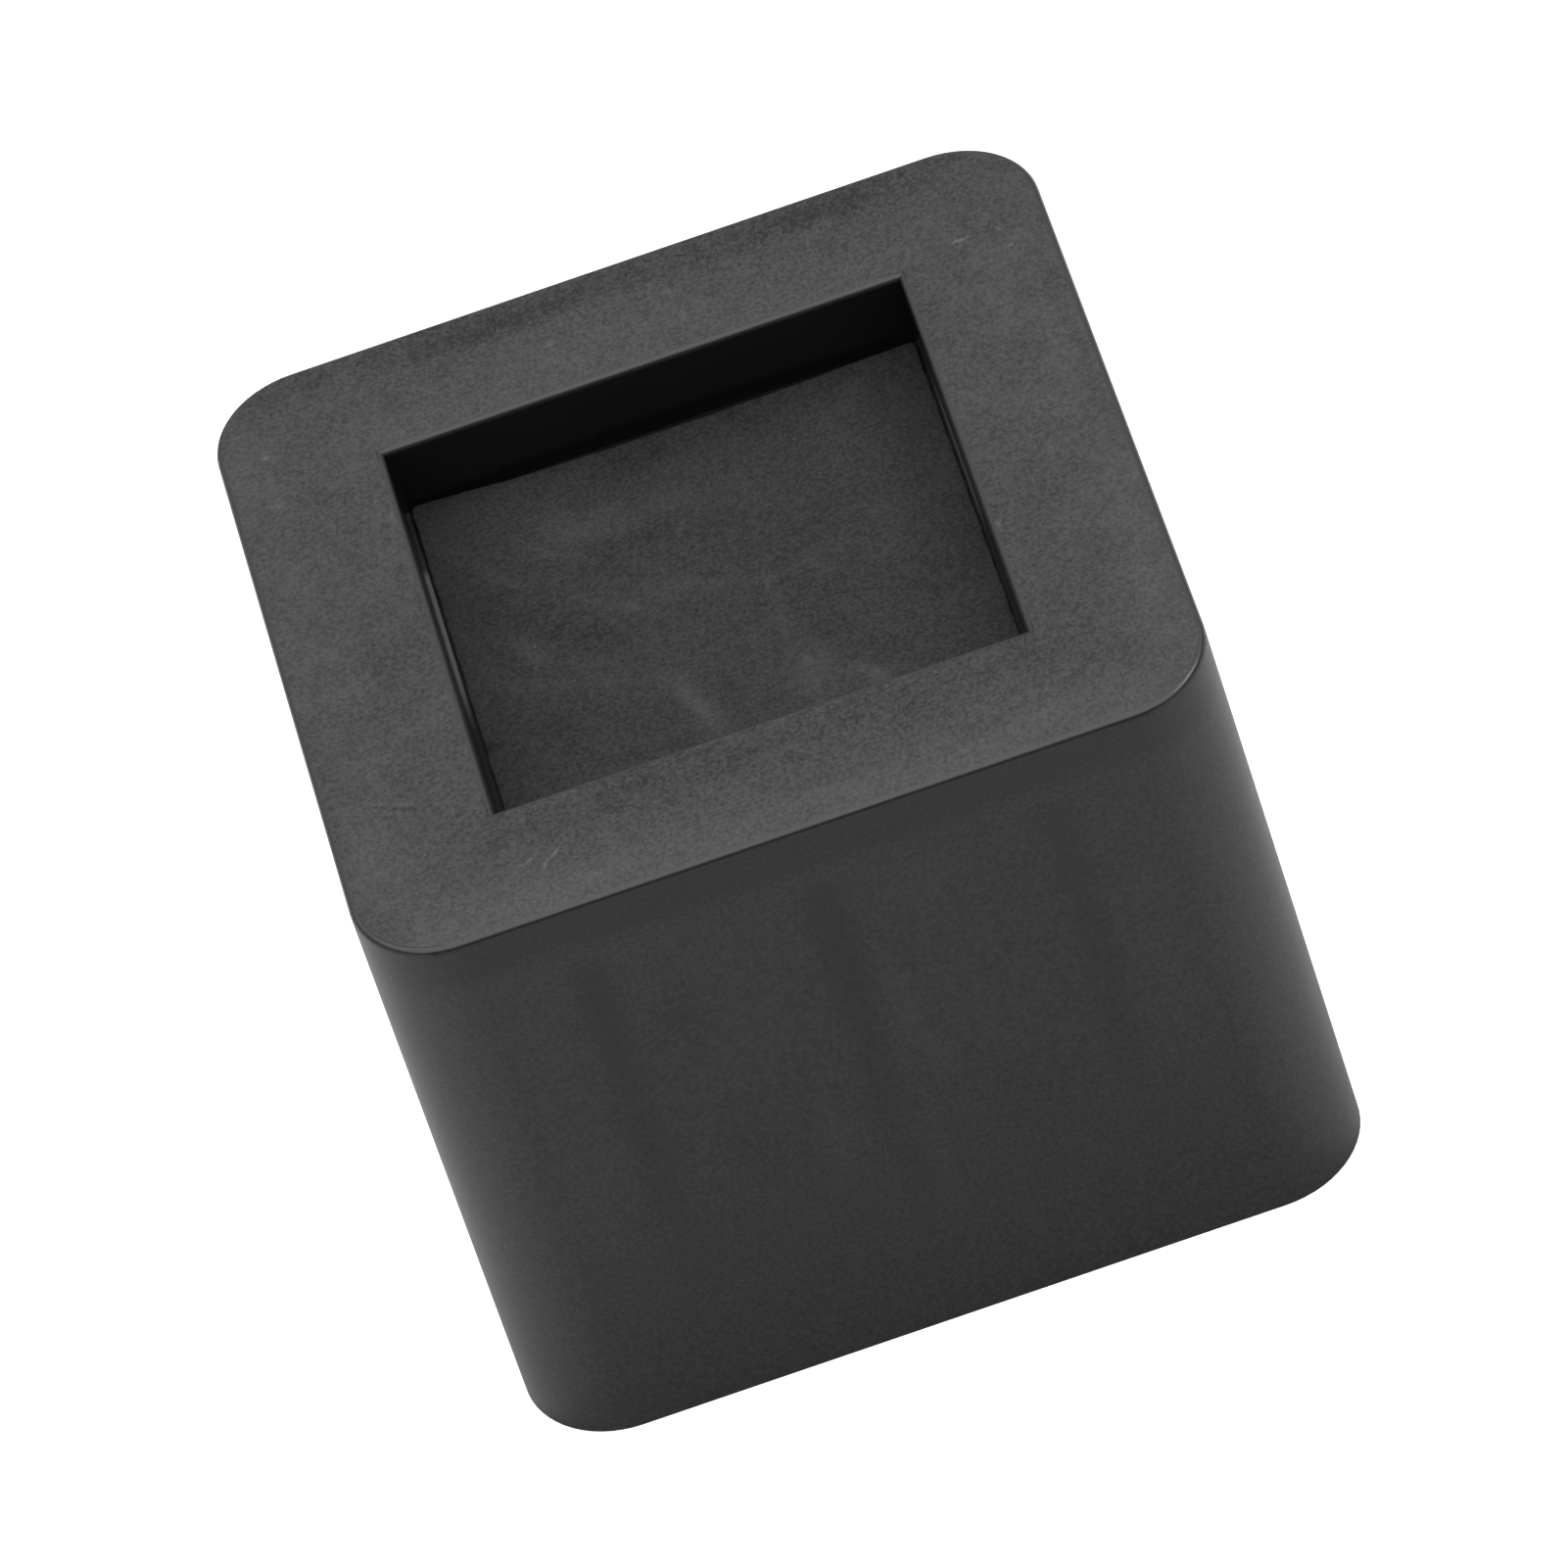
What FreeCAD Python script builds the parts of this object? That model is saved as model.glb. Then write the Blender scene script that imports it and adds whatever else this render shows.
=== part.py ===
"""Square riser block for a furniture leg, with the pad that lies in its recess.

Millimetres. The origin is the middle of the foot, +Z is up and +X runs along the front face.
The block is one moulding: a thin drafted shell, open underneath, with a sunk square seat in its
top and a grid of ribs that carries the seat down to the floor. The pad is a separate sheet that
lies on the floor of the seat.
"""
import FreeCAD
import Part
import Sketcher
import math
import os

doc = FreeCAD.newDocument("riser")

# Named sizes, in millimetres and degrees. Every sketch and feature takes its numbers from here.
SIZES = [
    ("top_width", 95.0),            # the square top, from outer face to outer face
    ("block_height", 77.0),         # floor to rim
    ("side_draft", 0.5),            # the foot is wider than the top
    ("corner_radius", 10.5),        # upright corners, measured at the top
    ("rim_edge_radius", 0.8),       # outer edge of the top
    ("seat_width", 59.5),           # the square recess that takes the leg
    ("seat_depth", 9.7),            # rim to recess floor
    ("seat_edge_radius", 0.8),      # edge of the recess
    ("wall_thickness", 3.0),        # the four sides
    ("deck_thickness", 3.0),        # the top round the recess
    ("seat_wall_thickness", 3.0),   # walls of the recess
    ("seat_floor_thickness", 3.5),  # floor of the recess
    ("rib_thickness", 2.2),         # at the foot; the draft thickens each rib upwards
    ("rib_draft", 0.35),
    ("rib_pitch", 25.6),            # from rib to rib
    ("pad_gap", 0.75),              # pad to recess wall, all round
    ("pad_thickness", 1.0),
    ("pad_corner_radius", 1.2),
    ("pad_edge_radius", 0.2),
]
RIBS_EACH_WAY = 3

# Sizes that follow from the named ones.
FOOT_GROWTH = "Sizes.block_height * tan(Sizes.side_draft * 1 deg)"
CAVITY_WIDTH = f"Sizes.top_width + 2 * {FOOT_GROWTH} - 2 * Sizes.wall_thickness"
CAVITY_RADIUS = f"Sizes.corner_radius + {FOOT_GROWTH} - Sizes.wall_thickness"
CAVITY_HEIGHT = "Sizes.block_height - Sizes.deck_thickness"
SEAT_BOX_WIDTH = "Sizes.seat_width + 2 * Sizes.seat_wall_thickness"
SEAT_BOX_DEPTH = "Sizes.seat_depth + Sizes.seat_floor_thickness"
RIB_LENGTH = "Sizes.top_width - Sizes.wall_thickness"
RIB_HEIGHT = "Sizes.block_height - Sizes.deck_thickness / 2"
RIB_ROW_LENGTH = f"{RIBS_EACH_WAY - 1} * Sizes.rib_pitch"
PAD_WIDTH = "Sizes.seat_width - 2 * Sizes.pad_gap"
PAD_LEVEL = "Sizes.block_height - Sizes.seat_depth"

sheet = doc.addObject("Spreadsheet::Sheet", "Sizes")
for row, (name, number) in enumerate(SIZES, start=1):
    sheet.set(f"A{row}", name)
    sheet.set(f"B{row}", str(number))
    sheet.setAlias(f"B{row}", name)
doc.recompute()


def value(expression):
    """The number that an expression gives with the present sizes."""
    return float(sheet.evalExpression(expression))


def new_body(name):
    """A body whose label is also the name of its file."""
    body = doc.addObject("PartDesign::Body", name)
    body.Label = name
    return body


def origin_part(body, role):
    """A plane or an axis of the body's own origin."""
    return next(item for item in body.Origin.OriginFeatures if item.Role == role)


def level_sketch(body, name, level="0"):
    """A sketch parallel to the floor, at the height that an expression gives."""
    sketch = body.newObject("Sketcher::SketchObject", name)
    sketch.AttachmentSupport = [(origin_part(body, "XY_Plane"), "")]
    sketch.MapMode = "FlatFace"
    sketch.setExpression("AttachmentOffset.Base.z", level)
    return sketch


def dimension(sketch, name, constraint, expression):
    """Adds a named dimension and ties it to an expression."""
    index = sketch.addConstraint(constraint)
    sketch.renameConstraint(index, name)
    sketch.setExpression(f"Constraints.{name}", expression)


def rounded_square(sketch, width, radius):
    """A square with rounded corners about the sketch's origin. Both sizes are expressions."""
    half = value(width) / 2
    inner = half - value(radius)
    arcs = []
    for quarter in range(4):
        start = quarter * math.pi / 2
        middle = start + math.pi / 4
        x = math.copysign(inner, math.cos(middle))
        y = math.copysign(inner, math.sin(middle))
        circle = Part.Circle(FreeCAD.Vector(x, y, 0), FreeCAD.Vector(0, 0, 1), half - inner)
        arcs.append(sketch.addGeometry(Part.ArcOfCircle(circle, start, start + math.pi / 2)))
    ends = [
        ((inner, half), (-inner, half)),
        ((-half, inner), (-half, -inner)),
        ((-inner, -half), (inner, -half)),
        ((half, -inner), (half, inner)),
    ]
    sides = []
    for first, last in ends:
        line = Part.LineSegment(FreeCAD.Vector(*first, 0), FreeCAD.Vector(*last, 0))
        sides.append(sketch.addGeometry(line))
    for corner, direction in enumerate(["Horizontal", "Vertical"] * 2):
        following = arcs[(corner + 1) % 4]
        sketch.addConstraint(Sketcher.Constraint("Tangent", arcs[corner], 2, sides[corner], 1))
        sketch.addConstraint(Sketcher.Constraint("Tangent", sides[corner], 2, following, 1))
        sketch.addConstraint(Sketcher.Constraint(direction, sides[corner]))
    for arc in arcs[1:]:
        sketch.addConstraint(Sketcher.Constraint("Equal", arcs[0], arc))
    sketch.addConstraint(Sketcher.Constraint("Symmetric", arcs[0], 3, arcs[2], 3, -1, 1))
    across = Sketcher.Constraint("DistanceX", sides[1], 1, sides[3], 2, 2 * half)
    along = Sketcher.Constraint("DistanceY", sides[2], 1, sides[0], 2, 2 * half)
    dimension(sketch, "across", across, width)
    dimension(sketch, "along", along, width)
    dimension(sketch, "radius", Sketcher.Constraint("Radius", arcs[0], half - inner), radius)


def rectangle(sketch, width, depth, left="0", front="0"):
    """A rectangle, with its middle so far left and in front of the origin. All are expressions."""
    middle_x = -value(left)
    middle_y = -value(front)
    half_x = value(width) / 2
    half_y = value(depth) / 2
    corners = []
    for side_x, side_y in ((-1, -1), (1, -1), (1, 1), (-1, 1)):
        corners.append(FreeCAD.Vector(middle_x + side_x * half_x, middle_y + side_y * half_y, 0))
    sides = []
    for index in range(4):
        line = Part.LineSegment(corners[index], corners[(index + 1) % 4])
        sides.append(sketch.addGeometry(line))
    for index, direction in enumerate(["Horizontal", "Vertical"] * 2):
        following = sides[(index + 1) % 4]
        sketch.addConstraint(Sketcher.Constraint("Coincident", sides[index], 2, following, 1))
        sketch.addConstraint(Sketcher.Constraint(direction, sides[index]))
    point = Part.Point(FreeCAD.Vector(middle_x, middle_y, 0))
    middle = sketch.addGeometry(point, True)
    sketch.addConstraint(Sketcher.Constraint("Symmetric", sides[0], 1, sides[2], 1, middle, 1))
    across = Sketcher.Constraint("DistanceX", sides[0], 1, sides[0], 2, 2 * half_x)
    along = Sketcher.Constraint("DistanceY", sides[1], 1, sides[1], 2, 2 * half_y)
    dimension(sketch, "across", across, width)
    dimension(sketch, "along", along, depth)
    dimension(sketch, "left", Sketcher.Constraint("DistanceX", middle, 1, -1, 1, -middle_x), left)
    dimension(sketch, "front", Sketcher.Constraint("DistanceY", middle, 1, -1, 1, -middle_y), front)


def extrude(body, kind, name, sketch, length, direction, taper="0"):
    """A pad or a pocket of a sketch, up or down. The taper widens it away from the sketch."""
    feature = body.newObject(f"PartDesign::{kind}", name)
    feature.Profile = sketch
    feature.Type = "Length"
    feature.setExpression("Length", length)
    feature.setExpression("TaperAngle", taper)
    own_direction = "up" if kind == "Pad" else "down"
    feature.Reversed = direction != own_direction
    body.Tip = feature
    doc.recompute()
    return feature


def round_edges(body, name, edges, radius):
    """Rounds some edges of the body as it stands."""
    base = body.Tip
    feature = body.newObject("PartDesign::Fillet", name)
    feature.Base = (base, edges)
    feature.setExpression("Radius", radius)
    body.Tip = feature
    doc.recompute()


def level_edges(body, level, is_wanted):
    """Names of the edges at a height, picked by how far they reach from the middle."""
    found = []
    for index, edge in enumerate(body.Tip.Shape.Edges, start=1):
        box = edge.BoundBox
        flat = box.ZLength < 0.001 and abs(box.ZMax - value(level)) < 0.001
        reach = max(abs(box.XMin), abs(box.XMax), abs(box.YMin), abs(box.YMax))
        if flat and is_wanted(reach):
            found.append(f"Edge{index}")
    return found


def outer_form(body):
    """A square prism with rounded corners, drawn at the top and drafted down to the floor."""
    outline = level_sketch(body, "top_outline", "Sizes.block_height")
    rounded_square(outline, "Sizes.top_width", "Sizes.corner_radius")
    extrude(body, "Pad", "outer_form", outline, "Sizes.block_height", "down", "Sizes.side_draft")


def cavity(body):
    """The hollow underneath, which leaves the sides and the deck at an even thickness."""
    outline = level_sketch(body, "cavity_outline")
    rounded_square(outline, CAVITY_WIDTH, CAVITY_RADIUS)
    extrude(body, "Pocket", "cavity", outline, CAVITY_HEIGHT, "up", "-Sizes.side_draft")


def seat_box(body):
    """The block of material that hangs from the deck, in which the seat is cut later."""
    outline = level_sketch(body, "seat_box_outline", "Sizes.block_height")
    rectangle(outline, SEAT_BOX_WIDTH, SEAT_BOX_WIDTH)
    extrude(body, "Pad", "seat_box", outline, SEAT_BOX_DEPTH, "down")


def rib_row(body, name, across, row_axis):
    """Ribs that stand on the floor, meet the sides and carry the seat, thinnest at the foot."""
    outline = level_sketch(body, f"{name}_outline")
    if across:
        rectangle(outline, RIB_LENGTH, "Sizes.rib_thickness", front="Sizes.rib_pitch")
    else:
        rectangle(outline, "Sizes.rib_thickness", RIB_LENGTH, left="Sizes.rib_pitch")
    rib = extrude(body, "Pad", name, outline, RIB_HEIGHT, "up", "Sizes.rib_draft")
    row = body.newObject("PartDesign::LinearPattern", f"{name}_row")
    row.Originals = [rib]
    row.Direction = (origin_part(body, row_axis), [""])
    row.Occurrences = RIBS_EACH_WAY
    row.setExpression("Length", RIB_ROW_LENGTH)
    body.Tip = row
    doc.recompute()


def seat(body):
    """The square recess that takes the leg."""
    outline = level_sketch(body, "seat_outline", "Sizes.block_height")
    rectangle(outline, "Sizes.seat_width", "Sizes.seat_width")
    extrude(body, "Pocket", "seat", outline, "Sizes.seat_depth", "down")


def top_edges(body):
    """The outer edge of the top and the edge of the recess are rounded."""
    between = value("(Sizes.top_width + Sizes.seat_width) / 4")
    rim = level_edges(body, "Sizes.block_height", lambda reach: reach > between)
    round_edges(body, "rim_edge", rim, "Sizes.rim_edge_radius")
    mouth = level_edges(body, "Sizes.block_height", lambda reach: reach < between)
    round_edges(body, "seat_edge", mouth, "Sizes.seat_edge_radius")


def make_block():
    """The moulded block."""
    body = new_body("riser_block")
    outer_form(body)
    solid = body.Shape.Volume
    cavity(body)
    if body.Shape.Volume > solid / 2:
        raise RuntimeError("the hollow underneath is missing")
    seat_box(body)
    rib_row(body, "lengthwise_rib", False, "X_Axis")
    rib_row(body, "crosswise_rib", True, "Y_Axis")
    uncut = body.Shape.Volume
    seat(body)
    if abs(uncut - body.Shape.Volume - value("Sizes.seat_width ^ 2 * Sizes.seat_depth")) > 1:
        raise RuntimeError("the recess is not cut to its full depth")
    top_edges(body)
    return body


def make_pad():
    """A sheet with slightly rounded corners and edges, on the recess floor."""
    body = new_body("recess_pad")
    outline = level_sketch(body, "pad_outline")
    rounded_square(outline, PAD_WIDTH, "Sizes.pad_corner_radius")
    extrude(body, "Pad", "pad_sheet", outline, "Sizes.pad_thickness", "up")
    face = level_edges(body, "Sizes.pad_thickness", lambda reach: reach > 0)
    round_edges(body, "pad_edge", face, "Sizes.pad_edge_radius")
    body.setExpression("Placement.Base.z", PAD_LEVEL)
    return body


bodies = [make_block(), make_pad()]
doc.recompute()

for item in doc.Objects:
    if "Invalid" in item.State or "Error" in item.State:
        raise RuntimeError(f"{item.Name} has failed")

os.makedirs("parts", exist_ok=True)
for body in bodies:
    shape = body.Shape
    if shape.isNull() or not shape.isValid() or len(shape.Solids) != 1:
        raise RuntimeError(f"{body.Label} is not one sound solid")
    shape.exportStep(f"parts/{body.Label}.step")
    print(f"{body.Label}: {shape.Volume / 1000:.2f} cm3, {len(shape.Faces)} faces")
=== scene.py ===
"""A moulded plastic bed riser with a foam pad in its seat, dressed for a picture.

The block keeps the shape it was drawn with and gets its moulded finish here.
The pad is made again as the soft sheet it is, cut a little out of true.
Lengths are in metres, with MM to write them in millimetres.
"""

from math import pi, radians, tan

import bpy
import numpy as np
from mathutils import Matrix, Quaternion, Vector


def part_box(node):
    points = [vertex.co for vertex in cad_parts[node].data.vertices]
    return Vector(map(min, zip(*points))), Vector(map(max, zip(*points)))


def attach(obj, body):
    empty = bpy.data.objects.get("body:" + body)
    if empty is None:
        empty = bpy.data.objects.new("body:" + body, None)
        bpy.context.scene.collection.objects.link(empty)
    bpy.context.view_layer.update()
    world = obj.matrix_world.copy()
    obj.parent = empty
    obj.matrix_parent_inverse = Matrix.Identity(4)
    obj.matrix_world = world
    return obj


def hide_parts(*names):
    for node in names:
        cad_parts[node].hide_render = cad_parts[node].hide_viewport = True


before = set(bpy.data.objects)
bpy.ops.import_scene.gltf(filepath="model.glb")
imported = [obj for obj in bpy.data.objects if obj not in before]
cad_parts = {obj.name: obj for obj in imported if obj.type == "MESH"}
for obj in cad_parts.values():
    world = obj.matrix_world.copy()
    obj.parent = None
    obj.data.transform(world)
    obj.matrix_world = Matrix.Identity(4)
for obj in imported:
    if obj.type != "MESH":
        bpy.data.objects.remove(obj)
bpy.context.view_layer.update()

MM = 0.001

# Sizes of the block that its finish follows.
BLOCK_HEIGHT = 77 * MM
TOP_HALF = 47.5 * MM
CORNER_RADIUS = 10.5 * MM
SEAT_HALF = 29.75 * MM
EDGE_RADIUS = 0.8 * MM
SEAT_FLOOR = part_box("recess_pad")[0][2]
RIB_PITCH = 25.6 * MM
WALL_DRAFT = radians(0.5)


# Helpers for meshes and nodes.

def mesh_piece(name, points, faces, material):
    """Makes a smooth-shaded object from arrays of points and of four- or three-cornered faces."""
    mesh = bpy.data.meshes.new(name)
    mesh.from_pydata(points.tolist(), [], faces)
    mesh.polygons.foreach_set("use_smooth", np.ones(len(mesh.polygons), dtype=bool))
    mesh.materials.append(material)
    mesh.update()
    piece = bpy.data.objects.new(name, mesh)
    bpy.context.scene.collection.objects.link(piece)
    return piece


class Recipe:
    """Adds nodes to a tree. A value given to a node is a number, a triple or another node's output."""

    def __init__(self, tree):
        self.tree = tree
        tree.nodes.clear()

    def wire(self, socket, value):
        if isinstance(value, bpy.types.NodeSocket):
            self.tree.links.new(value, socket)
        else:
            socket.default_value = value

    def put(self, kind, values=None, **options):
        """A node of this kind with these options, and its inputs by name or number."""
        made = self.tree.nodes.new(kind)
        for option, choice in options.items():
            setattr(made, option, choice)
        for key, value in (values or {}).items():
            self.wire(made.inputs[key], value)
        return made

    def sum(self, operation, first, second=0.0, third=0.0):
        """One Math node."""
        values = {0: first, 1: second, 2: third}
        return self.put("ShaderNodeMath", values, operation=operation).outputs[0]

    def times(self, first, second):
        return self.sum("MULTIPLY", first, second)

    def plus(self, first, second):
        return self.sum("ADD", first, second)

    def minus(self, first, second):
        return self.sum("SUBTRACT", first, second)

    def largest(self, first, second):
        return self.sum("MAXIMUM", first, second)

    def ramp(self, value, start, end, low=0.0, high=1.0):
        """Runs softly from low at start to high at end, and stays there."""
        values = {"Value": value, "From Min": start, "From Max": end, "To Min": low, "To Max": high}
        made = self.put("ShaderNodeMapRange", values, interpolation_type="SMOOTHSTEP")
        return made.outputs["Result"]

    def blend(self, share, first, second):
        """The first value where share is 0 and the second where it is 1."""
        made = self.put("ShaderNodeMix", {0: share, 2: first, 3: second}, data_type="FLOAT")
        return made.outputs[0]

    def noise(self, place, scale, detail=2.0, roughness=0.5, distortion=0.0):
        values = {"Vector": place, "Scale": scale, "Detail": detail, "Roughness": roughness,
                  "Distortion": distortion}
        return self.put("ShaderNodeTexNoise", values).outputs[0]

    def group(self, tree, values):
        """The outputs of a node group placed with its own values."""
        made = self.put("ShaderNodeGroup", node_tree=tree)
        for key, value in values.items():
            self.wire(made.inputs[key], value)
        return made.outputs


def new_group(name, inputs, outputs):
    """An empty node group with named inputs and number outputs, and its two ends."""
    tree = bpy.data.node_groups.new(name, "ShaderNodeTree")
    for label, kind, value in inputs:
        socket = tree.interface.new_socket(label, in_out="INPUT", socket_type=kind)
        if value is not None:
            socket.default_value = value
    for label in outputs:
        tree.interface.new_socket(label, in_out="OUTPUT", socket_type="NodeSocketFloat")
    recipe = Recipe(tree)
    ends = recipe.put("NodeGroupInput"), recipe.put("NodeGroupOutput")
    return tree, recipe, ends[0].outputs, ends[1].inputs


# Effects that both materials use.

def grain_group():
    """Fine moulded grain: noise of a feature size, as a height in metres and as flecks from -1 to 1."""
    inputs = [("Vector", "NodeSocketVector", None),
              ("Size", "NodeSocketFloat", 0.5 * MM),
              ("Depth", "NodeSocketFloat", 0.01 * MM)]
    tree, make, given, result = new_group("fine grain", inputs, ["Height", "Fleck"])
    scale = make.sum("DIVIDE", 1.0, given["Size"])
    fine = make.noise(given["Vector"], scale, detail=3.0, roughness=0.65)
    centred = make.minus(fine, 0.5)
    make.wire(result["Height"], make.times(centred, given["Depth"]))
    make.wire(result["Fleck"], make.ramp(fine, 0.28, 0.72, -1.0, 1.0))
    return tree


def cloud_group():
    """Cloudy tone: soft blotches of a given size, from -1 to 1."""
    inputs = [("Vector", "NodeSocketVector", None), ("Size", "NodeSocketFloat", 8 * MM)]
    tree, make, given, result = new_group("cloudy tone", inputs, ["Tone"])
    scale = make.sum("DIVIDE", 1.0, given["Size"])
    cloud = make.noise(given["Vector"], scale, detail=4.0, roughness=0.55, distortion=0.6)
    make.wire(result["Tone"], make.ramp(cloud, 0.3, 0.7, -1.0, 1.0))
    return tree


def smear_group():
    """A smear: an oval laid at a place and turned, which fades towards its edge.

    Its share is 1 up to a tenth of the way out and 0 at the edge. The ragged value moves the edge in
    or out.
    """
    inputs = [("Vector", "NodeSocketVector", None),
              ("Middle", "NodeSocketVector", (0.0, 0.0, 0.0)),
              ("Turn", "NodeSocketFloat", 0.0),
              ("Half Length", "NodeSocketFloat", 5 * MM),
              ("Half Width", "NodeSocketFloat", 1 * MM),
              ("Ragged", "NodeSocketFloat", 0.0)]
    tree, make, given, result = new_group("smear", inputs, ["Share"])
    turn = make.put("ShaderNodeCombineXYZ", {2: given["Turn"]}).outputs[0]
    size = make.put("ShaderNodeCombineXYZ", {0: given["Half Length"], 1: given["Half Width"]}).outputs[0]
    own_place = make.put("ShaderNodeMapping", {"Vector": given["Vector"], "Location": given["Middle"],
                                               "Rotation": turn, "Scale": size}, vector_type="TEXTURE")
    far = make.put("ShaderNodeVectorMath", {0: own_place.outputs[0]}, operation="LENGTH").outputs["Value"]
    make.wire(result["Share"], make.ramp(make.plus(far, given["Ragged"]), 1.0, 0.1))
    return tree


def speck_group():
    """Dust specks: small round spots, one to a random cell, and only in a share of the cells."""
    inputs = [("Vector", "NodeSocketVector", None),
              ("Spacing", "NodeSocketFloat", 3 * MM),
              ("Radius", "NodeSocketFloat", 0.15 * MM),
              ("Share", "NodeSocketFloat", 0.3)]
    tree, make, given, result = new_group("dust specks", inputs, ["Mask"])
    scale = make.sum("DIVIDE", 1.0, given["Spacing"])
    cells = make.put("ShaderNodeTexVoronoi", {"Vector": given["Vector"], "Scale": scale})
    spot = make.times(cells.outputs["Distance"], given["Spacing"])
    inside = make.ramp(spot, given["Radius"], make.times(given["Radius"], 0.5))
    chance = make.put("ShaderNodeSeparateColor", {0: cells.outputs["Color"]}).outputs[0]
    kept = make.sum("LESS_THAN", chance, given["Share"])
    make.wire(result["Mask"], make.times(inside, kept))
    return tree


GRAIN = grain_group()
CLOUD = cloud_group()
SMEAR = smear_group()
SPECKS = speck_group()


# The block's black plastic.

# How much light its surfaces send back.
RIM_TONE = 0.020
WALL_TONE = 0.0115
# The seat's walls and floor are painted darker than the outer walls: painted shade inside the recess.
SEAT_SHADE_TONE = 0.008
# The shiny strips of the seat floor are painted much lighter: a painted highlight of what they mirror.
PAINTED_GLEAM_TONE = 0.048
UNDER_TONE = 0.016

# How high the middle of the rim's face stands over its edges.
RIM_CROWN = 0.44 * MM

# Sink marks: half the width of a rib's mark, how deep they are, and the heights between which they lie.
SINK_HALF = 3.6 * MM
SINK_DEPTH = 0.03 * MM
RIB_MARK_FAINT = 2 * MM
RIB_MARK_FULL = 62 * MM
RIB_MARK_ENDS = 67.0 * MM
RIB_MARK_GONE = 70.5 * MM
DECK_MARK_STARTS = 69.6 * MM
DECK_MARK_FULL = 73.0 * MM


def sink_marks(make, along, z):
    """Where a wall has a rib or the deck behind it, and cooled a little hollow.

    The share is 1 on the line of each rib, and falls off to nothing at SINK_HALF to either side of it.
    It is strongest in the upper part of the wall and fades out towards the foot.
    A level strip along the rim, where the deck joins the wall, has nine tenths of it too.
    """
    nearest = make.times(make.sum("ROUND", make.sum("DIVIDE", along, RIB_PITCH)), RIB_PITCH)
    off_rib = make.sum("ABSOLUTE", make.minus(along, nearest))
    rib = make.ramp(off_rib, SINK_HALF, 0.3 * MM)
    rib = make.times(rib, make.ramp(z, RIB_MARK_FAINT, RIB_MARK_FULL))
    rib = make.times(rib, make.ramp(z, RIB_MARK_GONE, RIB_MARK_ENDS))
    strip = make.ramp(z, DECK_MARK_STARTS, DECK_MARK_FULL, 0.0, 0.90)
    return make.largest(rib, strip)


# Lighter and darker patches painted on each wall as light and shade: streaks of its faint waviness,
# lighter bands towards the corners and darker ones low in the middle. Place along it and height in mm,
# turn in degrees, half length and half width in mm, and strength.
SIDE_LIGHT_AND_SHADE = [
    (5.4, 46.0, 101, 13.0, 2.4, 0.60),
    (9.8, 63.5, 95, 6.0, 4.5, 0.45),
    (-7.0, 31.0, 90, 9.0, 3.2, 0.35),
    (3.6, 25.0, 96, 7.0, 2.0, 0.35),
    (-33.5, 36.0, 92, 16.0, 6.5, 0.30),
    (32.5, 42.0, 88, 22.0, 5.0, 0.30),
    (-12.5, 50.0, 60, 10.0, 5.0, 0.20),
    (-18.0, 57.0, 0, 5.5, 5.0, -0.30),
    (-15.0, 36.0, 90, 11.0, 6.0, -0.15),
    (15.0, 27.0, 90, 16.0, 7.0, -0.18),
]


# Marks on the rim's face: middle in mm, turn in degrees, half length and half width in mm, and strength.
# The first eleven are long bands along the rim, painted shade and painted highlight; the rest are smaller
# patches and marks, and a nick at the back edge.
RIM_MARKS_AND_SHADING = [
    (-13.0, 43.4, 0, 17.0, 3.0, -0.55),
    (22.0, 43.8, 0, 13.0, 3.0, -0.50),
    (0.0, 45.0, 0, 50.0, 3.6, -0.30),
    (45.4, 8.0, 90, 26.0, 1.5, -0.35),
    (-46.3, -26.0, 90, 18.0, 0.9, -0.30),
    (-23.0, -43.6, 2, 12.0, 2.4, 0.35),
    (2.0, -43.8, -2, 12.0, 2.2, 0.25),
    (25.0, -43.8, 4, 11.0, 2.4, 0.35),
    (43.0, -26.0, 88, 16.0, 2.4, 0.30),
    (0.0, -34.0, 0, 36.0, 3.2, -0.22),
    (0.0, 36.0, 0, 26.0, 3.0, 0.22),
    (-41.0, -18.0, 96, 7.0, 2.5, 0.22),
    (-27.5, -35.0, 150, 4.5, 2.2, -0.25),
    (31.5, -34.5, 30, 4.5, 2.0, -0.22),
    (39.5, 24.0, 88, 16.0, 3.0, 0.18),
    (-39.8, -24.4, -29, 5.5, 0.40, -0.70),
    (-40.2, -23.5, -29, 4.5, 0.40, 0.60),
    (-27.8, -38.7, 25, 1.8, 0.26, 2.0),
    (-26.2, -40.0, 62, 1.4, 0.24, 2.4),
    (-24.9, -38.8, 48, 1.5, 0.26, 2.2),
    (37.3, 32.2, 2, 1.9, 0.36, 2.2),
    (42.4, 28.8, 30, 0.70, 0.45, 2.6),
    (41.8, 32.0, 120, 0.65, 0.4, 1.6),
    (-42.2, 35.2, 0, 0.8, 0.6, 1.6),
    (-42.4, 27.0, -30, 1.3, 0.45, 1.4),
    (-8.8, 38.0, 20, 1.0, 0.8, 1.2),
    (30.9, -13.0, 95, 1.3, 0.5, 1.3),
    (-30.9, 19.6, 80, 0.9, 0.4, 1.3),
    (27.1, 46.4, 0, 0.45, 0.4, -1.2),
]


def marked(make, place, marks, level, patch):
    """The sum of the marks of a list, all at one height, with edges ragged by noise of a patch size."""
    ragged = make.times(make.minus(make.noise(place, 1 / patch), 0.5), 0.9)
    total = 0.0
    for middle_x, middle_y, turn, half_length, half_width, strength in marks:
        share = make.group(SMEAR, {"Vector": place,
                                   "Middle": (middle_x * MM, middle_y * MM, level),
                                   "Turn": radians(turn),
                                   "Half Length": half_length * MM,
                                   "Half Width": half_width * MM,
                                   "Ragged": ragged})[0]
        total = make.plus(total, make.times(share, strength))
    return total


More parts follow.
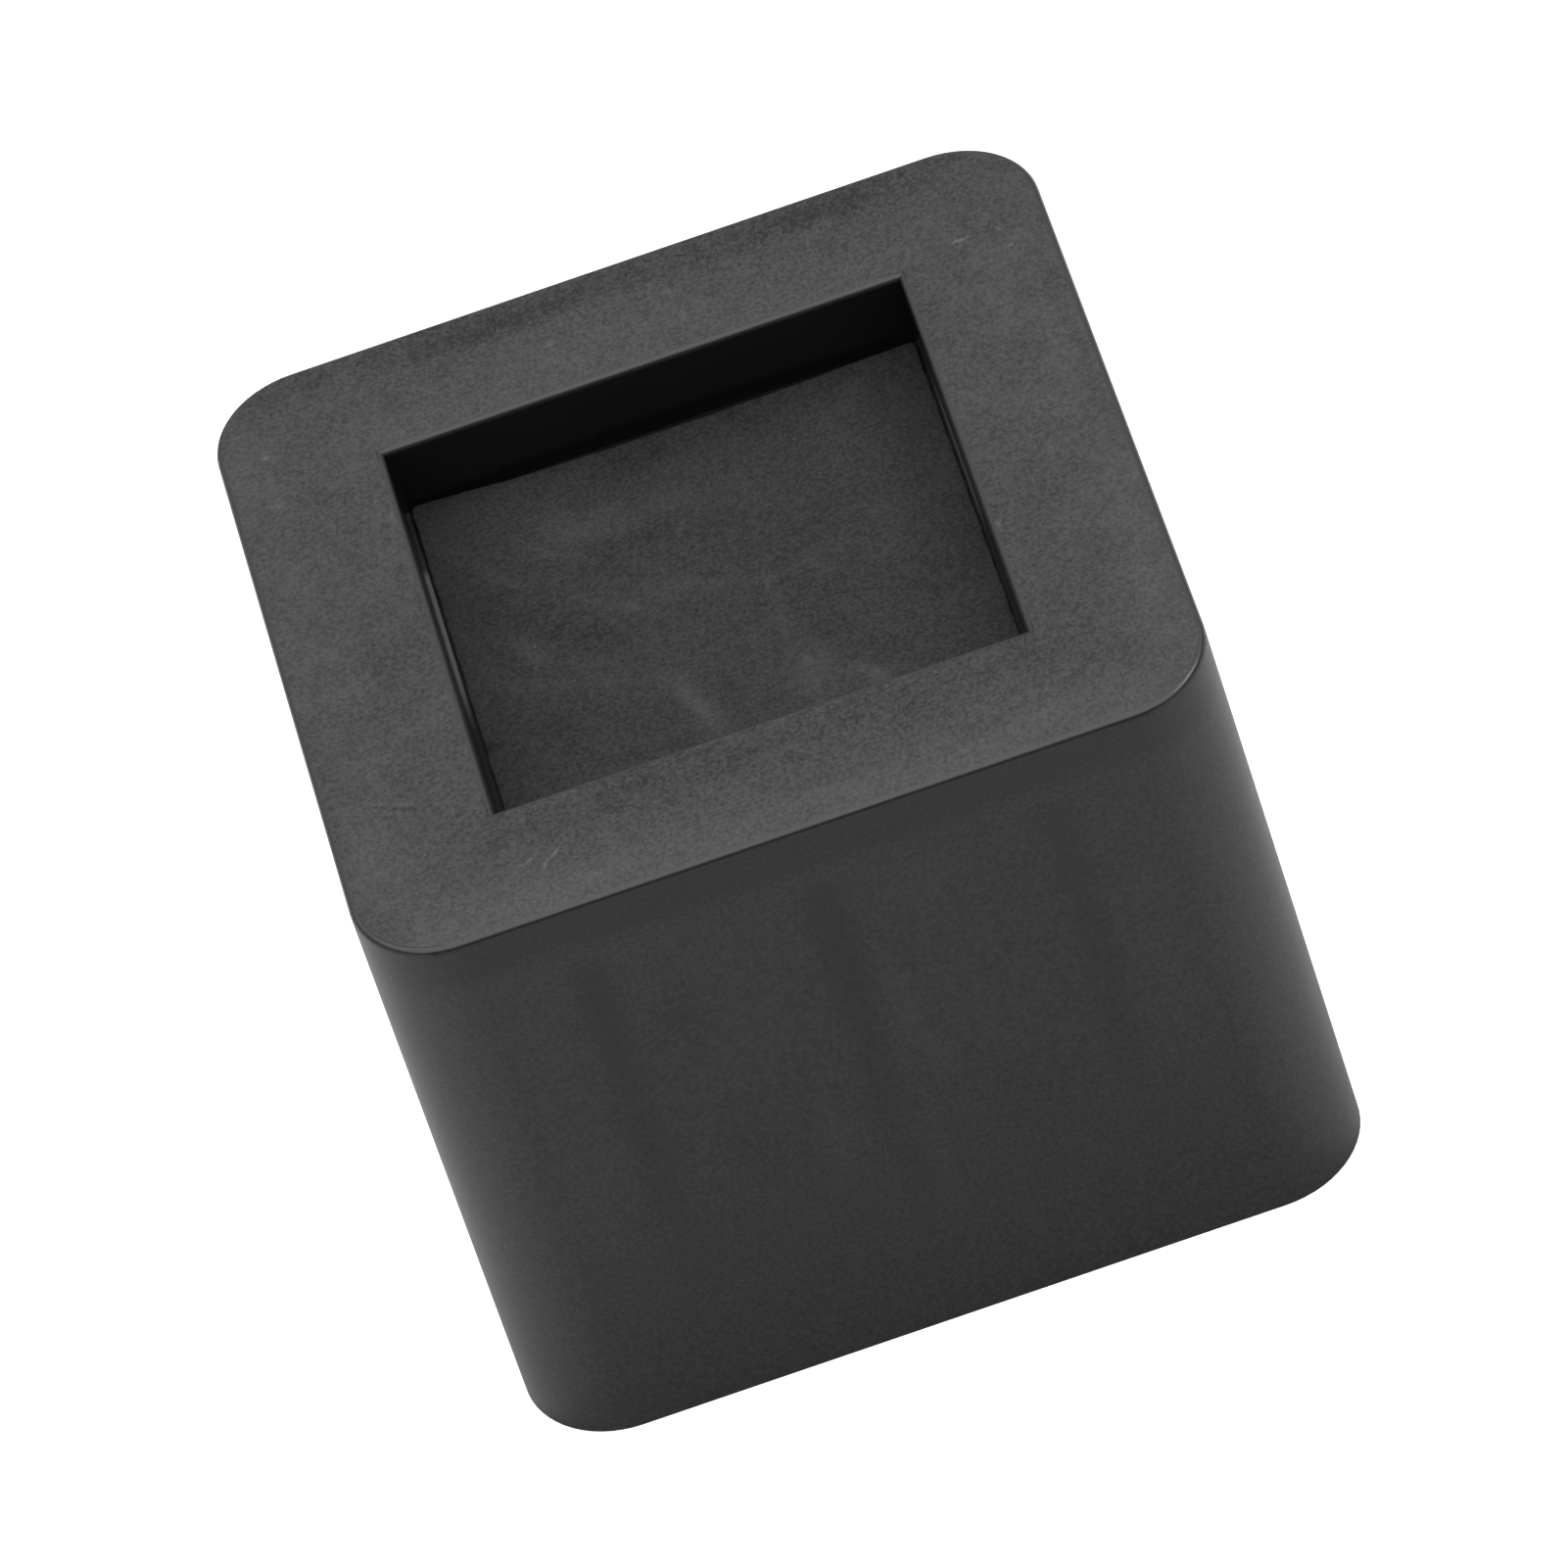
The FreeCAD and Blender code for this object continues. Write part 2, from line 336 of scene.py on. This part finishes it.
def past_straight_sides(make, x, y):
    """How far a point lies out of the square between the axes of the rounded corners.

    It comes in the two directions, neither below 0, and as the distance, which is the root of the sum of
    their squares. On the outline of the top the distance is CORNER_RADIUS all round.
    """
    straight = TOP_HALF - CORNER_RADIUS
    past_x = make.largest(make.minus(make.sum("ABSOLUTE", x), straight), 0.0)
    past_y = make.largest(make.minus(make.sum("ABSOLUTE", y), straight), 0.0)
    distance = make.sum("SQRT", make.plus(make.times(past_x, past_x), make.times(past_y, past_y)))
    return past_x, past_y, distance


def block_faces(make, across, z, distance):
    """Shares that are 1 on one part of the block and 0 off it.

    Those of the top and of its edges rise softly with the height. The others change at once.
    """
    below_edge = make.sum("LESS_THAN", z, BLOCK_HEIGHT - EDGE_RADIUS)
    above_foot = make.sum("GREATER_THAN", z, 0.02 * MM)
    within_seat = make.sum("LESS_THAN", across, SEAT_HALF + EDGE_RADIUS)
    above_seat_floor = make.sum("GREATER_THAN", z, SEAT_FLOOR - 0.5 * MM)
    near_seat_floor = make.sum("LESS_THAN", z, SEAT_FLOOR + 0.1 * MM)
    side = make.sum("GREATER_THAN", distance, CORNER_RADIUS - EDGE_RADIUS)
    seat = make.times(within_seat, above_seat_floor)
    return {"top": make.ramp(z, BLOCK_HEIGHT - 0.020 * MM, BLOCK_HEIGHT - 0.004 * MM),
            "edge": make.ramp(z, BLOCK_HEIGHT - EDGE_RADIUS, BLOCK_HEIGHT - 0.5 * EDGE_RADIUS),
            "side": side,
            "plain wall": make.times(side, make.times(above_foot, below_edge)),
            "seat": seat,
            "seat floor": make.times(seat, near_seat_floor)}


def wall_direction(make, x, y, past, plain_wall):
    """Which way the surface faces, put right on the walls.

    The mesh's own directions have a step where a flat wall meets a rounded corner. On the walls the
    direction comes from the drawn outline instead: straight out of a flat wall, away from the axis of a
    corner, and up by the draft. The added 0.001 mm keeps it from being zero inside the outline.
    """
    past_x, past_y, distance = past
    out_x = make.times(past_x, make.sum("SIGN", x))
    out_y = make.times(past_y, make.sum("SIGN", y))
    out_z = make.plus(make.times(distance, tan(WALL_DRAFT)), 0.001 * MM)
    outward = make.put("ShaderNodeCombineXYZ", {0: out_x, 1: out_y, 2: out_z}).outputs[0]
    outward = make.put("ShaderNodeVectorTransform", {0: outward}, vector_type="NORMAL",
                       convert_from="OBJECT", convert_to="WORLD").outputs[0]
    mesh_way = make.put("ShaderNodeNewGeometry").outputs["Normal"]
    facing = make.put("ShaderNodeMix", {0: plain_wall, 4: mesh_way, 5: outward}, data_type="VECTOR")
    return make.put("ShaderNodeVectorMath", {0: facing.outputs[1]}, operation="NORMALIZE").outputs[0]


def rim_crown(make, rounded_across):
    """The height of the rim's face over a flat one: a parabola across the rim, highest midway."""
    band_middle = (TOP_HALF + SEAT_HALF) / 2
    band_half = (TOP_HALF - SEAT_HALF) / 2 - EDGE_RADIUS
    off_middle = make.sum("DIVIDE", make.minus(rounded_across, band_middle), band_half)
    return make.times(make.minus(1.0, make.times(off_middle, off_middle)), RIM_CROWN)


def shiny_floor_and_gleam(make, x, y):
    """Where the seat floor beside the pad is shiny, with a painted highlight in its tone: its outer edge
    at the left, and weakly at the right.

    Both stretches begin softly near the middle and run on to the back.
    """
    left_edge = make.ramp(x, -SEAT_HALF + 0.47 * MM, -SEAT_HALF + 0.35 * MM)
    right_edge = make.ramp(x, SEAT_HALF - 0.35 * MM, SEAT_HALF - 0.15 * MM)
    left = make.times(left_edge, make.ramp(y, -8 * MM, 6 * MM))
    right = make.times(right_edge, make.ramp(y, -4 * MM, 4 * MM, 0.0, 0.28))
    return make.plus(left, right)


def block_plastic():
    """Black moulded plastic: grained top, satin sides, smoother seat, plain underside."""
    material = bpy.data.materials.new("black moulded plastic")
    material.use_nodes = True
    make = Recipe(material.node_tree)
    place = make.put("ShaderNodeTexCoord").outputs["Object"]
    x, y, z = make.put("ShaderNodeSeparateXYZ", {0: place}).outputs
    size_x = make.sum("ABSOLUTE", x)
    size_y = make.sum("ABSOLUTE", y)
    across = make.largest(size_x, size_y)
    rounded_across = make.sum("SMOOTH_MAX", size_x, size_y, 9 * MM)
    past = past_straight_sides(make, x, y)
    on = block_faces(make, across, z, past[2])

    # Grain, blotches and marks.
    grain_size = make.blend(on["top"], 0.50 * MM, 0.40 * MM)
    grain_depth = make.blend(on["top"], 0.010 * MM, 0.032 * MM)
    grain = make.group(GRAIN, {"Vector": place, "Size": grain_size, "Depth": grain_depth})
    small_cloud = make.group(CLOUD, {"Vector": place, "Size": 4 * MM})[0]
    wide_cloud = make.group(CLOUD, {"Vector": place, "Size": 14 * MM})[0]
    mottle = make.plus(make.times(small_cloud, 0.5), make.times(wide_cloud, 0.5))
    # Part of these marks is painted shade and painted highlight in bands along the rim.
    rim_marks_and_shading = marked(make, place, RIM_MARKS_AND_SHADING, BLOCK_HEIGHT, 1.4 * MM)

    # Each wall has its sink marks and patches at the same places along it, a little astray.
    on_end = make.sum("GREATER_THAN", size_x, size_y)
    stray = make.times(make.minus(make.noise(place, 70.0, detail=1.0), 0.5), 3.0 * MM)
    along = make.plus(make.blend(on_end, x, y), stray)
    sink = make.times(sink_marks(make, along, z), on["side"])
    # The sink marks and the strip under the rim are also painted darker: painted shade of their hollows.
    painted_sink_shade = make.times(sink, make.plus(0.75, make.times(wide_cloud, 0.19)))
    on_wall = make.put("ShaderNodeCombineXYZ", {0: along, 1: z}).outputs[0]
    # The wall patches are painted light and shade.
    painted_side_shading = marked(make, on_wall, SIDE_LIGHT_AND_SHADE, 0.0, 5 * MM)
    # Where the seat floor is shiny, and where its tone carries a painted highlight.
    shine_and_gleam = make.times(shiny_floor_and_gleam(make, x, y), on["seat floor"])

    # Tones. The outer part of the rim is painted a little lighter, but not at the back, as a painted
    # sheen from the light.
    painted_rim_sheen = make.times(make.ramp(rounded_across, 37 * MM, 45 * MM), make.ramp(y, 44 * MM, 34 * MM))
    painted_rim_sheen = make.times(painted_rim_sheen, make.plus(0.28, make.times(wide_cloud, 0.18)))
    side_tone = make.plus(make.plus(1.0, make.times(mottle, 0.20)), painted_side_shading)
    side_tone = make.times(side_tone, make.minus(1.0, painted_sink_shade))
    side_fleck = make.times(grain["Fleck"], make.minus(0.85, make.times(sink, 0.40)))
    side_tone = make.largest(make.plus(side_tone, side_fleck), 0.05)
    top_tone = make.plus(1.0, make.times(mottle, 0.22))
    top_tone = make.plus(top_tone, make.times(grain["Fleck"], 0.95))
    top_tone = make.plus(make.plus(top_tone, rim_marks_and_shading), painted_rim_sheen)
    tone = make.blend(on["side"], UNDER_TONE, make.times(side_tone, WALL_TONE))
    # The seat is painted darker as shade in the recess, and its shiny strips lighter as a painted
    # highlight.
    tone = make.blend(on["seat"], tone, make.blend(shine_and_gleam, SEAT_SHADE_TONE, PAINTED_GLEAM_TONE))
    tone = make.blend(on["edge"], tone, RIM_TONE)
    tone = make.blend(on["top"], tone, make.times(top_tone, RIM_TONE))

    # Gloss. The seat floor mirrors little except where it is shiny.
    rough = make.blend(on["side"], 0.45, make.plus(0.36, make.times(mottle, 0.02)))
    rough = make.blend(on["seat"], rough, 0.25)
    rough = make.blend(on["seat floor"], rough, make.minus(0.42, make.times(shine_and_gleam, 0.34)))
    rough = make.blend(on["edge"], rough, 0.24)
    rough = make.blend(on["top"], rough, make.plus(0.36, make.times(mottle, 0.04)))
    mirror = make.blend(on["seat floor"], 0.5, make.plus(0.12, make.times(shine_and_gleam, 0.88)))

    # Relief, in metres.
    top_relief = make.plus(grain["Height"], rim_crown(make, rounded_across))
    side_relief = make.minus(grain["Height"], make.times(sink, SINK_DEPTH))
    relief = make.blend(on["top"], side_relief, top_relief)
    relief = make.blend(on["seat floor"], relief, 0.0)
    facing = wall_direction(make, x, y, past, on["plain wall"])
    bump = make.put("ShaderNodeBump", {"Strength": 1.0, "Distance": 1.0, "Height": relief,
                                       "Normal": facing}).outputs[0]

    shader = make.put("ShaderNodeBsdfPrincipled", {"Base Color": tone, "Roughness": rough,
                                                   "Specular IOR Level": mirror, "Normal": bump})
    make.put("ShaderNodeOutputMaterial", {"Surface": shader.outputs[0]})
    return material


# The pad's foam.

PAD_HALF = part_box("recess_pad")[1][0]
PAD_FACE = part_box("recess_pad")[1][2]
FOAM_TONE = 0.0225
DUST_TONE = 0.05

# Wipe marks on the pad, and two darker bands along its back that are painted shade from the back wall:
# middle in mm, turn in degrees, half length and half width in mm, and strength.
PAD_SMEARS_AND_SHADE = [
    (-5.7, -16.0, 113, 10.0, 2.3, 0.85),
    (7.0, -16.0, 104, 8.5, 4.4, 0.60),
    (12.8, -19.2, 128, 5.6, 2.0, 0.85),
    (5.6, -4.0, 94, 8.0, 1.8, 0.38),
    (5.8, -0.6, 0, 3.0, 1.8, 0.35),
    (10.5, 1.5, 90, 7.0, 3.5, 0.14),
    (-12.2, 17.4, 165, 8.8, 5.4, 0.52),
    (-1.0, 16.5, 172, 12.0, 4.6, 0.26),
    (-15.0, 13.8, 135, 6.0, 0.9, 0.45),
    (-21.4, 13.8, 137, 5.2, 1.1, 0.45),
    (-11.8, 4.7, 140, 6.0, 1.1, 0.35),
    (-8.9, 2.6, 120, 1.8, 1.0, 0.55),
    (-1.8, 3.2, 147, 6.0, 1.4, 0.38),
    (-1.6, 11.2, 65, 3.0, 0.9, 0.38),
    (-20.6, 0.5, 115, 3.6, 2.2, 0.40),
    (-24.5, -3.5, 130, 3.4, 1.1, 0.25),
    (-19.5, 6.0, 138, 15.0, 5.0, -0.28),
    (-13.5, -0.5, 140, 7.0, 3.6, -0.18),
    (-22.0, -3.0, 90, 26.0, 10.0, -0.14),
    (-21.0, -11.5, 170, 7.5, 3.6, -0.25),
    (-28.0, -11.0, 150, 2.4, 1.3, -0.50),
    (-5.5, 3.5, 155, 14.0, 2.4, 0.15),
    (-19.0, -5.5, 156, 13.0, 1.9, 0.18),
    (-5.2, 12.2, 0, 4.2, 2.4, -0.22),
    # These two darken the back of the pad under the back wall: painted shade.
    (-5.0, 25.2, 0, 7.0, 2.8, -0.25),
    (9.0, 25.5, 0, 6.0, 2.8, -0.22),
]


def pad_foam():
    """Black closed-cell foam: dull, blotched and wiped skin with a little dust in it."""
    material = bpy.data.materials.new("black foam")
    material.use_nodes = True
    make = Recipe(material.node_tree)
    place = make.put("ShaderNodeTexCoord").outputs["Object"]

    # The smears and blotches are bent by noise, by up to 2.5 mm each way.
    shift = make.put("ShaderNodeTexNoise", {"Vector": place, "Scale": 90.0, "Detail": 2.0})
    centred = make.put("ShaderNodeVectorMath", {0: shift.outputs["Color"], 1: (0.5, 0.5, 0.5)},
                       operation="SUBTRACT")
    scaled = make.put("ShaderNodeVectorMath", {0: centred.outputs[0], "Scale": 5 * MM}, operation="SCALE")
    bent = make.put("ShaderNodeVectorMath", {0: place, 1: scaled.outputs[0]}, operation="ADD").outputs[0]

    smears_and_shade = marked(make, bent, PAD_SMEARS_AND_SHADE, PAD_FACE, 1.4 * MM)
    cloud = make.group(CLOUD, {"Vector": bent, "Size": 6 * MM})[0]
    wide_cloud = make.group(CLOUD, {"Vector": bent, "Size": 15 * MM})[0]
    grain = make.group(GRAIN, {"Vector": place, "Size": 0.42 * MM, "Depth": 0.055 * MM})
    specks = make.group(SPECKS, {"Vector": place, "Spacing": 2.6 * MM, "Radius": 0.14 * MM,
                                 "Share": 0.25})[0]

    # The left and right edges are painted darker, over 9 mm: painted shade from the recess walls.
    x = make.put("ShaderNodeSeparateXYZ", {0: place}).outputs[0]
    painted_wall_shade = make.ramp(make.sum("ABSOLUTE", x), PAD_HALF, PAD_HALF - 9 * MM, 0.72, 1.0)
    tone = make.plus(1.0, make.times(cloud, 0.15))
    tone = make.plus(tone, make.times(wide_cloud, 0.12))
    tone = make.plus(tone, make.times(grain["Fleck"], 0.60))
    tone = make.times(make.plus(tone, smears_and_shade), painted_wall_shade)
    tone = make.plus(make.times(tone, FOAM_TONE), make.times(specks, DUST_TONE))

    bump = make.put("ShaderNodeBump", {"Strength": 1.0, "Distance": 1.0, "Height": grain["Height"]})
    rough = make.plus(0.75, make.times(cloud, 0.05))
    shader = make.put("ShaderNodeBsdfPrincipled", {"Base Color": tone, "Roughness": rough,
                                                   "Specular IOR Level": 0.25, "Normal": bump.outputs[0]})
    make.put("ShaderNodeOutputMaterial", {"Surface": shader.outputs[0]})
    return material


# The pad.

PAD_CORNER = 1.0 * MM
PAD_EDGE = 0.2 * MM
PAD_UNDER_EDGE = 0.15 * MM
PAD_CLEARANCE = 0.02 * MM
KNIFE_ERROR = 0.10 * MM

# Steps of the pad's profile: from the middle to the edge, round an edge, and down the cut side.
FACE_STEPS = 61
ROUND_STEPS = 6
SIDE_STEPS = 6


def square_outline(half, radius, run_points, arc_points):
    """Points and outward directions round a square with rounded corners, anticlockwise.

    One side is a straight run up the right edge, at x = half, and then a quarter circle of the given
    radius about (half - radius, half - radius). The other three sides are that side turned by 90, 180
    and 270 degrees.
    """
    run = np.linspace(-1, 1, run_points, endpoint=False) * (half - radius)
    angle = np.linspace(0, pi / 2, arc_points, endpoint=False)
    run_side = np.stack([np.full_like(run, half), run], axis=-1)
    arc_out = np.stack([np.cos(angle), np.sin(angle)], axis=-1)
    arc_side = (half - radius) + radius * arc_out
    run_out = np.tile([1.0, 0.0], (run_points, 1))
    side = np.concatenate([run_side, arc_side])
    out = np.concatenate([run_out, arc_out])
    turn = np.arange(4) * pi / 2
    spin = np.array([[np.cos(turn), -np.sin(turn)], [np.sin(turn), np.cos(turn)]]).transpose(2, 0, 1)
    points = np.einsum("kij,nj->kni", spin, side).reshape(-1, 2)
    outward = np.einsum("kij,nj->kni", spin, out).reshape(-1, 2)
    return points, outward


def cut_error(points, seed, size):
    """How far the knife strayed round the outline.

    It is a sum of five waves of random phase. The second is weaker than the first by the root of 2, the
    third by the root of 3, and so on. Their strengths add up to size.
    """
    random = np.random.default_rng(seed)
    way = np.linspace(0, 2 * pi, len(points), endpoint=False)[:, None]
    count = np.array([23, 41, 67, 97, 149])
    weight = 1 / np.sqrt(np.arange(1, len(count) + 1))
    waves = np.sin(way * count + random.uniform(0, 2 * pi, len(count))) * weight
    return size * waves.sum(axis=1) / weight.sum()


def pad_shift(x, y, half):
    """How much the pad's outline leaves its square, as shifts of x and y that grow towards the edges.

    The back edge follows a parabola: out by 0.4 mm at the left, in by 0.7 mm in the middle, and true at
    the right.
    The right edge lies 0.2 mm further out, so the gap beside it is narrower than at the left.
    """
    u = x / half
    v = y / half
    back = (-0.7 - 0.2 * u + 0.9 * u ** 2) * MM
    near_back = np.clip((v - 0.2) / 0.8, 0, 1) ** 2
    near_right = np.clip((u - 0.2) / 0.8, 0, 1) ** 2
    shift_x = 0.2 * MM * near_right
    shift_y = back * near_back
    return shift_x, shift_y


def pad_lift(x, y, half):
    """How far the sheet stands off the seat floor.

    The back left corner curls up by 0.32 mm. This falls off as the exponential of minus the square of
    the distance from the corner over 9 mm.
    """
    far = ((x + half) ** 2 + (y - half) ** 2) / (9 * MM) ** 2
    return 0.32 * MM * np.exp(-far)


def pad_swell(x, y, half):
    """Unevenness of the foam's face: 0.1 mm lower at its edges, and long waves of up to 0.05 mm."""
    edge = (np.maximum(np.abs(x), np.abs(y)) / half) ** 8
    waves = np.sin(x / (5.1 * MM) + 0.7) * np.sin(y / (6.3 * MM) + 1.9)
    waves = waves + 0.6 * np.sin((x + y) / (3.7 * MM) + 0.4)
    return -0.10 * MM * edge + 0.03 * MM * waves


def make_pad(material):
    """The pad as one closed surface: a profile carried round its outline.

    The profile runs from the middle of the face out to the edge, over a small round, down the cut side,
    round the lower edge and back in to the middle underneath. Each step of it has a scale of the outline,
    an inset from it and a height. The two middles are single points, joined by a fan of triangles.
    """
    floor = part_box("recess_pad")[0][2] + PAD_CLEARANCE
    outline, outward = square_outline(PAD_HALF, PAD_CORNER, 130, 12)
    strayed = cut_error(outline, 5, KNIFE_ERROR)

    out = np.linspace(0, 1, FACE_STEPS + 1)[1:]
    turn = np.linspace(0, pi / 2, ROUND_STEPS)
    down = np.linspace(0, 1, SIDE_STEPS + 2)[1:-1]
    upper = PAD_FACE - PAD_EDGE
    lower = floor + PAD_UNDER_EDGE
    stretches = [
        (out, PAD_EDGE, PAD_FACE),
        (1.0, PAD_EDGE * (1 - np.sin(turn[1:])), PAD_FACE - PAD_EDGE * (1 - np.cos(turn[1:]))),
        (1.0, 0.0, upper + (lower - upper) * down),
        (1.0, PAD_UNDER_EDGE * (1 - np.cos(turn)), lower - PAD_UNDER_EDGE * np.sin(turn)),
        (out[::-1][1:], PAD_UNDER_EDGE, floor),
    ]
    profile = np.concatenate([np.stack(np.broadcast_arrays(*stretch), axis=-1) for stretch in stretches])
    scale, inset, height = profile.T

    ring = outline + outward * (strayed[None, :, None] - inset[:, None, None])
    ring = ring * scale[:, None, None]
    x, y = ring[..., 0], ring[..., 1]
    z = np.repeat(height[:, None], len(outline), axis=1)
    share_up = np.clip((z - floor) / (PAD_FACE - floor), 0, 1)
    shift_x, shift_y = pad_shift(x, y, PAD_HALF)
    z = z + pad_lift(x, y, PAD_HALF) + share_up * pad_swell(x, y, PAD_HALF)
    x, y = x + shift_x, y + shift_y
    rings = np.stack([x, y, z], axis=-1)

    top_middle = rings[0].mean(axis=0)
    under_middle = rings[-1].mean(axis=0)
    points = np.concatenate([rings.reshape(-1, 3), [top_middle, under_middle]])
    steps, around = rings.shape[:2]
    index = np.arange(steps * around).reshape(steps, around)
    beside = np.roll(index, -1, axis=1)
    quads = np.stack([index[:-1], index[1:], beside[1:], beside[:-1]], axis=-1).reshape(-1, 4)
    top_fan = np.stack([np.full(around, steps * around), index[0], beside[0]], axis=-1)
    under_fan = np.stack([np.full(around, steps * around + 1), beside[-1], index[-1]], axis=-1)
    faces = quads.tolist() + top_fan.tolist() + under_fan.tolist()
    return mesh_piece("foam_pad", points, faces, material)


# Stage, light and camera.

# The camera's place and aim, and how far the upright leans to the left in the picture.
CAMERA_PLACE = (0.0063, -0.9691, 0.9670)
CAMERA_AIM = (0.0, 0.0, 38.5 * MM)
CAMERA_LEAN = 19.1
CAMERA_LENS = 281

# The floor: how far it reaches, how far it goes in under the foot, how much light it sends back, and how
# much it glows for the camera.
FLOOR_HALF = 4.0
FLOOR_UNDER_FOOT = 0.2 * MM
FLOOR_TONE = 0.82
FLOOR_GLOW = 0.80


def white_floor():
    """A wide white floor, open under the block so that its hollow and its foot get light from below.

    It is lit like white card, shows white to the camera, and can be looked through from underneath.
    """
    material = bpy.data.materials.new("white floor card")
    material.use_nodes = True
    make = Recipe(material.node_tree)
    path = make.put("ShaderNodeLightPath").outputs
    seen = make.largest(path["Is Camera Ray"], path["Is Transmission Ray"])
    strength = make.times(seen, FLOOR_GLOW)
    card_tone = (FLOOR_TONE, FLOOR_TONE, FLOOR_TONE, 1)
    card = make.put("ShaderNodeBsdfDiffuse", {"Color": card_tone}).outputs[0]
    glow = make.put("ShaderNodeEmission", {"Color": (1, 1, 1, 1), "Strength": strength}).outputs[0]
    white = make.put("ShaderNodeAddShader", {0: card, 1: glow}).outputs[0]
    clear = make.put("ShaderNodeBsdfTransparent").outputs[0]
    under = make.put("ShaderNodeNewGeometry").outputs["Backfacing"]
    both = make.put("ShaderNodeMixShader", {0: under, 1: white, 2: clear}).outputs[0]
    make.put("ShaderNodeOutputMaterial", {"Surface": both})

    foot_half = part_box("riser_block")[1][0]
    foot_corner = CORNER_RADIUS + foot_half - TOP_HALF
    opening = square_outline(foot_half - FLOOR_UNDER_FOOT, foot_corner, 8, 12)[0]
    count = len(opening)
    points = np.zeros((2 * count, 3))
    points[:count, :2] = opening * FLOOR_HALF / foot_half
    points[count:, :2] = opening
    corners = range(count)
    faces = [(k, (k + 1) % count, count + (k + 1) % count, count + k) for k in corners]
    floor = mesh_piece("white_floor", points, faces, material)


# How bright the room is as light, and in reflections: all round, at the front, and in a vault of white
# cloth that is bent over the block from left to right, on its back part and on the rest.
ROOM_LIGHT = 0.35
ROOM_MIRRORED = 0.45
FRONT_MIRRORED = 0.15
VAULT_BACK_MIRRORED = 1.40
VAULT_MIRRORED = 2.20

# The direction of the front, 15 degrees above level.
FRONT_WAY = (0.0, -0.966, 0.259)


def white_room():
    """White for the camera, moderate and even as light, and with a bright vault overhead in reflections.

    The vault ends softly between 50 and 64 degrees from straight up to either side. Its back and front
    ends and the border of its back part are given by how far the direction points to the back, from
    -1 to 1.
    """
    world = bpy.data.worlds.new("white room")
    world.use_nodes = True
    make = Recipe(world.node_tree)
    path = make.put("ShaderNodeLightPath").outputs
    way = make.put("ShaderNodeTexCoord").outputs["Generated"]
    to_front = make.put("ShaderNodeVectorMath", {0: way, 1: FRONT_WAY}, operation="DOT_PRODUCT")
    walls = make.ramp(to_front.outputs["Value"], 0.70, 0.90, ROOM_MIRRORED, FRONT_MIRRORED)
    x, y, z = make.put("ShaderNodeSeparateXYZ", {0: way}).outputs
    off_middle = make.sum("ABSOLUTE", make.sum("ARCTAN2", x, z))
    in_vault = make.times(make.ramp(off_middle, radians(64), radians(50)), make.ramp(y, 0.81, 0.67))
    in_vault = make.times(in_vault, make.ramp(y, -0.76, -0.62))
    vault = make.ramp(y, 0.52, 0.22, VAULT_BACK_MIRRORED, VAULT_MIRRORED)
    mirrored = make.blend(in_vault, walls, vault)
    seen = make.largest(path["Is Camera Ray"], path["Is Transmission Ray"])
    strength = make.blend(path["Is Glossy Ray"], ROOM_LIGHT, mirrored)
    strength = make.blend(seen, strength, 1.0)
    sky = make.put("ShaderNodeBackground", {"Color": (1, 1, 1, 1), "Strength": strength})
    make.put("ShaderNodeOutputWorld", {"Surface": sky.outputs[0]})
    bpy.context.scene.world = world


def soft_box(name, azimuth, elevation, distance, width, height, radiance, mirrored=True):
    """A rectangular soft box that faces the block. Azimuth 0 is behind the block and 90 is on its right.

    Its power is pi times its area times its radiance. One that isn't mirrored only gives light.
    """
    lamp = bpy.data.lights.new(name, "AREA")
    lamp.shape = "RECTANGLE"
    lamp.size = width
    lamp.size_y = height
    lamp.energy = pi * width * height * radiance
    turn, rise = radians(azimuth), radians(elevation)
    away = Vector((np.sin(turn) * np.cos(rise), np.cos(turn) * np.cos(rise), np.sin(rise)))
    holder = bpy.data.objects.new(name, lamp)
    holder.location = Vector(CAMERA_AIM) + distance * away
    holder.rotation_euler = (-away).to_track_quat("-Z", "Y").to_euler()
    holder.visible_glossy = mirrored
    bpy.context.scene.collection.objects.link(holder)


def picture_camera():
    """Looks down on the block's front from the front, with a long lens and a tilted horizon."""
    data = bpy.data.cameras.new("picture camera")
    data.lens = CAMERA_LENS
    data.sensor_width = 36
    data.clip_start = 0.05
    data.clip_end = 20
    camera = bpy.data.objects.new("picture camera", data)
    aim = Vector(CAMERA_AIM) - Vector(CAMERA_PLACE)
    level = aim.to_track_quat("-Z", "Y")
    camera.rotation_mode = "QUATERNION"
    camera.rotation_quaternion = level @ Quaternion((0, 0, 1), radians(-CAMERA_LEAN))
    camera.location = CAMERA_PLACE
    bpy.context.scene.collection.objects.link(camera)
    bpy.context.scene.camera = camera


# The picture.

bpy.context.scene.view_settings.view_transform = "Standard"
picture_camera()
white_room()
white_floor()
soft_box("back light", 0, 30, 1.7, 0.9, 0.7, 8, mirrored=False)
soft_box("left light", -95, 42, 1.5, 0.8, 0.3, 5, mirrored=False)
soft_box("overhead light", 0, 83.5, 1.6, 0.85, 2.8, 2.1, mirrored=False)
soft_box("right soft box", 95, 42, 1.5, 0.8, 0.3, 5)

plastic = block_plastic()
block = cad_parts["riser_block"]
block.data.materials.clear()
block.data.materials.append(plastic)

pad = make_pad(pad_foam())
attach(pad, "root")
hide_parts("recess_pad")
